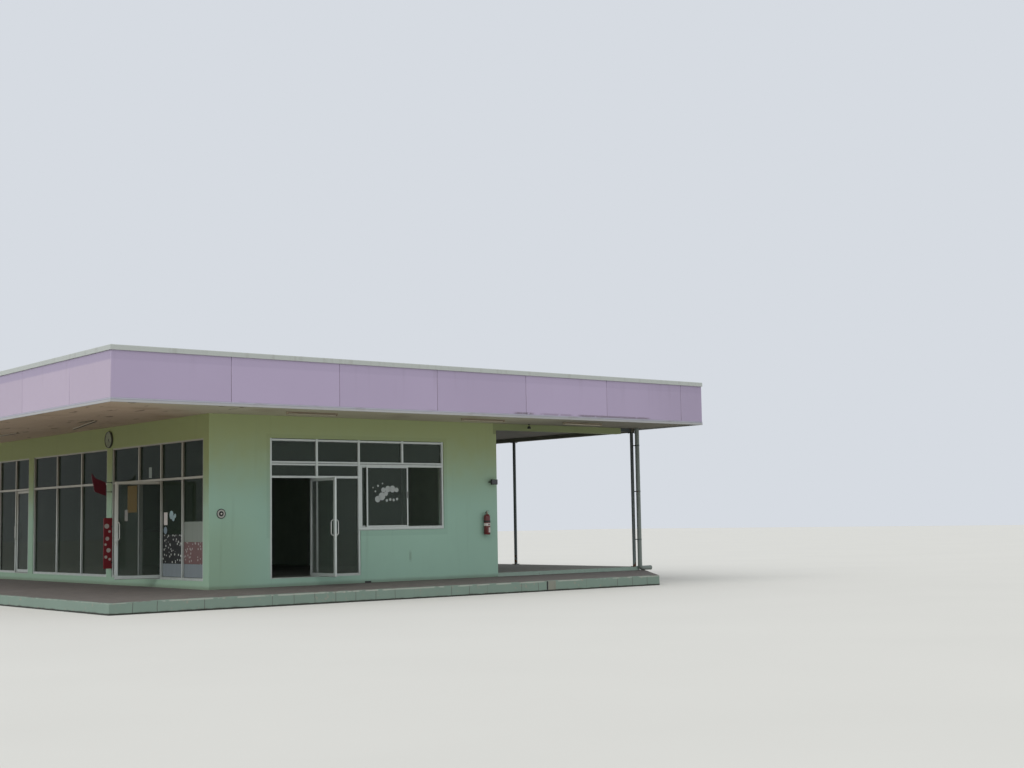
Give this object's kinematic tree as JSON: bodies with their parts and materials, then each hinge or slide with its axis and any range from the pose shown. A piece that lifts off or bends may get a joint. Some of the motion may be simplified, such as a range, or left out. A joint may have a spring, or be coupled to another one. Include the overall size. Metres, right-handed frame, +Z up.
{
  "type": "filling station shop with canopy roof",
  "caption": "Filling station shop under a flat canopy roof with a deep fascia, with glazed storefronts, swing doors and an open covered bay beside it.",
  "frame": {"origin": "middle of the roof's plan, at the lowest ground the walls and the apron stand on", "axes": "+X right along the shop front, +Y from the front to the back, +Z up"},
  "size_m": [15.28, 17.672, 4.816],
  "materials": {
    "concrete": "worn cement screed",
    "mint_plaster": "painted plaster",
    "aluminium": "satin anodised",
    "glass": "clear",
    "handle_steel": "satin",
    "lilac_panel": "matt paint, sun faded",
    "grey_trim": "satin paint",
    "soffit_board": "painted fibre cement",
    "painted_steel": "satin paint",
    "grey_pipe": "satin",
    "red_enamel": "gloss enamel",
    "white_enamel": "gloss enamel",
    "dark_fixture": "satin"
  },
  "bodies": {
    "building": {"platform_front": "concrete", "platform_sides": "concrete", "shop_floor": "concrete", "bay_floor": "concrete", "front_wall_left": "mint_plaster", "front_wall_right": "mint_plaster", "wall_below_window": "mint_plaster", "wall_lintels": "mint_plaster", "wall_curbs": "mint_plaster", "side_wall_piers": "mint_plaster", "right_wall": "mint_plaster", "back_wall_sides": "mint_plaster", "back_wall_bands": "mint_plaster", "front_frame_uprights": "aluminium", "front_frame_rails": "aluminium", "side_frame_uprights": "aluminium", "side_frame_rails": "aluminium", "back_window_frame": "aluminium", "front_glass": "glass", "side_glass": "glass", "back_glass": "glass", "window_sashes": "aluminium", "roof_slab": "concrete", "parapet": "concrete", "roof_cap": "grey_trim", "fascia_front_back": "lilac_panel", "fascia_sides": "lilac_panel", "trim_front_back": "grey_trim", "trim_sides": "grey_trim", "soffit_front_back": "soffit_board", "soffit_left": "soffit_board", "soffit_bay": "soffit_board", "bay_beams": "mint_plaster", "bay_beam_stubs": "painted_steel", "bay_edge_beam": "painted_steel", "bay_posts": "painted_steel", "rainwater_pipe": "grey_pipe", "wall_clock": "dark_fixture", "wall_plate": "dark_fixture", "fire_extinguisher": "red_enamel", "floodlight": "dark_fixture", "soffit_lights": "white_enamel", "hanging_lamp": "dark_fixture"},
    "front_door": {"front_door_leaf": "aluminium", "front_door_glass": "glass", "front_door_fittings": "handle_steel"},
    "side_door": {"side_door_leaf": "aluminium", "side_door_glass": "glass", "side_door_fittings": "handle_steel"},
    "store_door": {"store_door_leaf": "aluminium", "store_door_glass": "glass", "store_door_fittings": "handle_steel"}
  },
  "joints": [
    {"name": "front_door_pivot", "type": "hinge", "parent": "building", "child": "front_door", "pos_m": [-2.0755, -6.626, 0.452], "axis": [0, 0, 1], "range_deg": [-88, 2]},
    {"name": "side_door_pivot", "type": "hinge", "parent": "building", "child": "side_door", "pos_m": [-4.4615, -4.368, 0.452], "axis": [0, 0, 1], "range_deg": [-77, 13]},
    {"name": "store_door_pivot", "type": "hinge", "parent": "building", "child": "store_door", "pos_m": [-4.4615, 3.138, 0.452], "axis": [0, 0, 1], "range_deg": [0, 90]}
  ]
}
